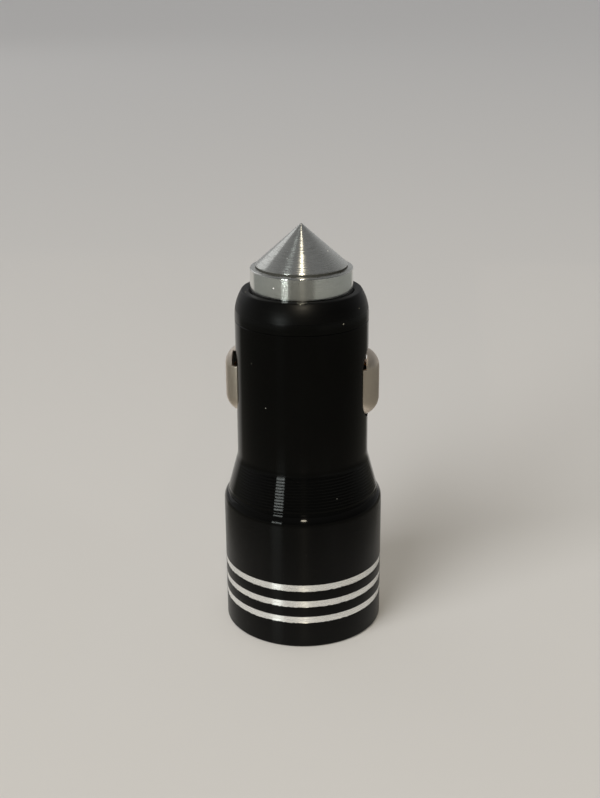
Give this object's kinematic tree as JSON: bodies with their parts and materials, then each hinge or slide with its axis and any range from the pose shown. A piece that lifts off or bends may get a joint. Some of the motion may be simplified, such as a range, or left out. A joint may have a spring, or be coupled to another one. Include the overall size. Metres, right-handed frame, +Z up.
{
  "type": "car usb charger plug",
  "caption": "Plug-in car charger: flared black turned shell with bright bands, sprung side contacts, a pointed sprung tip and USB sockets in its end face.",
  "frame": {"origin": "centre of the head's rim, on the surface that it stands on", "axes": "+Z up along the axis from the socket face to the tip, +X through the right side contact"},
  "size_m": [0.025, 0.025, 0.0645],
  "materials": {
    "shell_black": "gloss black anodised, turned",
    "nose_black": "black moulded plastic, satin",
    "tip_bare": "bare, fine turning marks",
    "spring_steel": "drawn wire",
    "contact_brass": "turned",
    "clip_nickel": "nickel plated, stamped",
    "leaf_bronze": "rolled strip",
    "frame_grey": "moulded",
    "board_green": "solder mask",
    "socket_steel": "tin plated, folded",
    "tongue_white": "moulded",
    "contact_gold": "flash gold",
    "plate_black": "moulded, fine satin",
    "lens_clear": "clear moulding",
    "led_body": "moulded",
    "capacitor_can": "sleeved can",
    "ferrite": "pressed ferrite",
    "copper_wire": "enamelled wire",
    "chip_black": "moulded",
    "lead_tin": "tinned",
    "ceramic_pale": "fired ceramic",
    "ceramic_tan": "fired ceramic"
  },
  "bodies": {
    "housing": {"outer_shell": "shell_black", "nose_ring": "nose_black", "tip_spring": "spring_steel", "tip_contact": "contact_brass", "ground_spring_left": "leaf_bronze", "ground_spring_right": "leaf_bronze", "core_frame": "frame_grey", "circuit_board": "board_green", "usb_shell_front": "socket_steel", "usb_shell_rear": "socket_steel", "usb_insulator_front": "tongue_white", "usb_insulator_rear": "tongue_white", "usb_contacts_front": "contact_gold", "usb_contacts_rear": "contact_gold", "face_plate": "plate_black", "indicator_lens": "lens_clear", "indicator_led": "led_body", "input_capacitor": "capacitor_can", "output_capacitor": "capacitor_can", "choke_core": "ferrite", "choke_winding": "copper_wire", "regulator_chip": "chip_black", "regulator_leads": "lead_tin", "rectifier_diode": "chip_black", "input_fuse": "ceramic_pale", "chip_resistors": "chip_black", "chip_capacitors": "ceramic_tan"},
    "tip": {"hammer_tip": "tip_bare"},
    "clip_left": {"ground_clip_left": "clip_nickel"},
    "clip_right": {"ground_clip_right": "clip_nickel"}
  },
  "joints": [
    {"name": "tip_slide", "type": "slide", "parent": "housing", "child": "tip", "axis": [0, 0, -1], "range_m": [0, 0.0025], "stiffness_N_per_m": 800, "springref_m": -0.004, "deforming": ["tip_spring"]},
    {"name": "clip_left_slide", "type": "slide", "parent": "housing", "child": "clip_left", "axis": [1, 0, 0], "range_m": [0, 0.0015], "stiffness_N_per_m": 1000, "springref_m": -0.002, "deforming": ["ground_spring_left"]},
    {"name": "clip_right_slide", "type": "slide", "parent": "housing", "child": "clip_right", "axis": [-1, 0, 0], "range_m": [0, 0.0015], "stiffness_N_per_m": 1000, "springref_m": -0.002, "deforming": ["ground_spring_right"]}
  ]
}
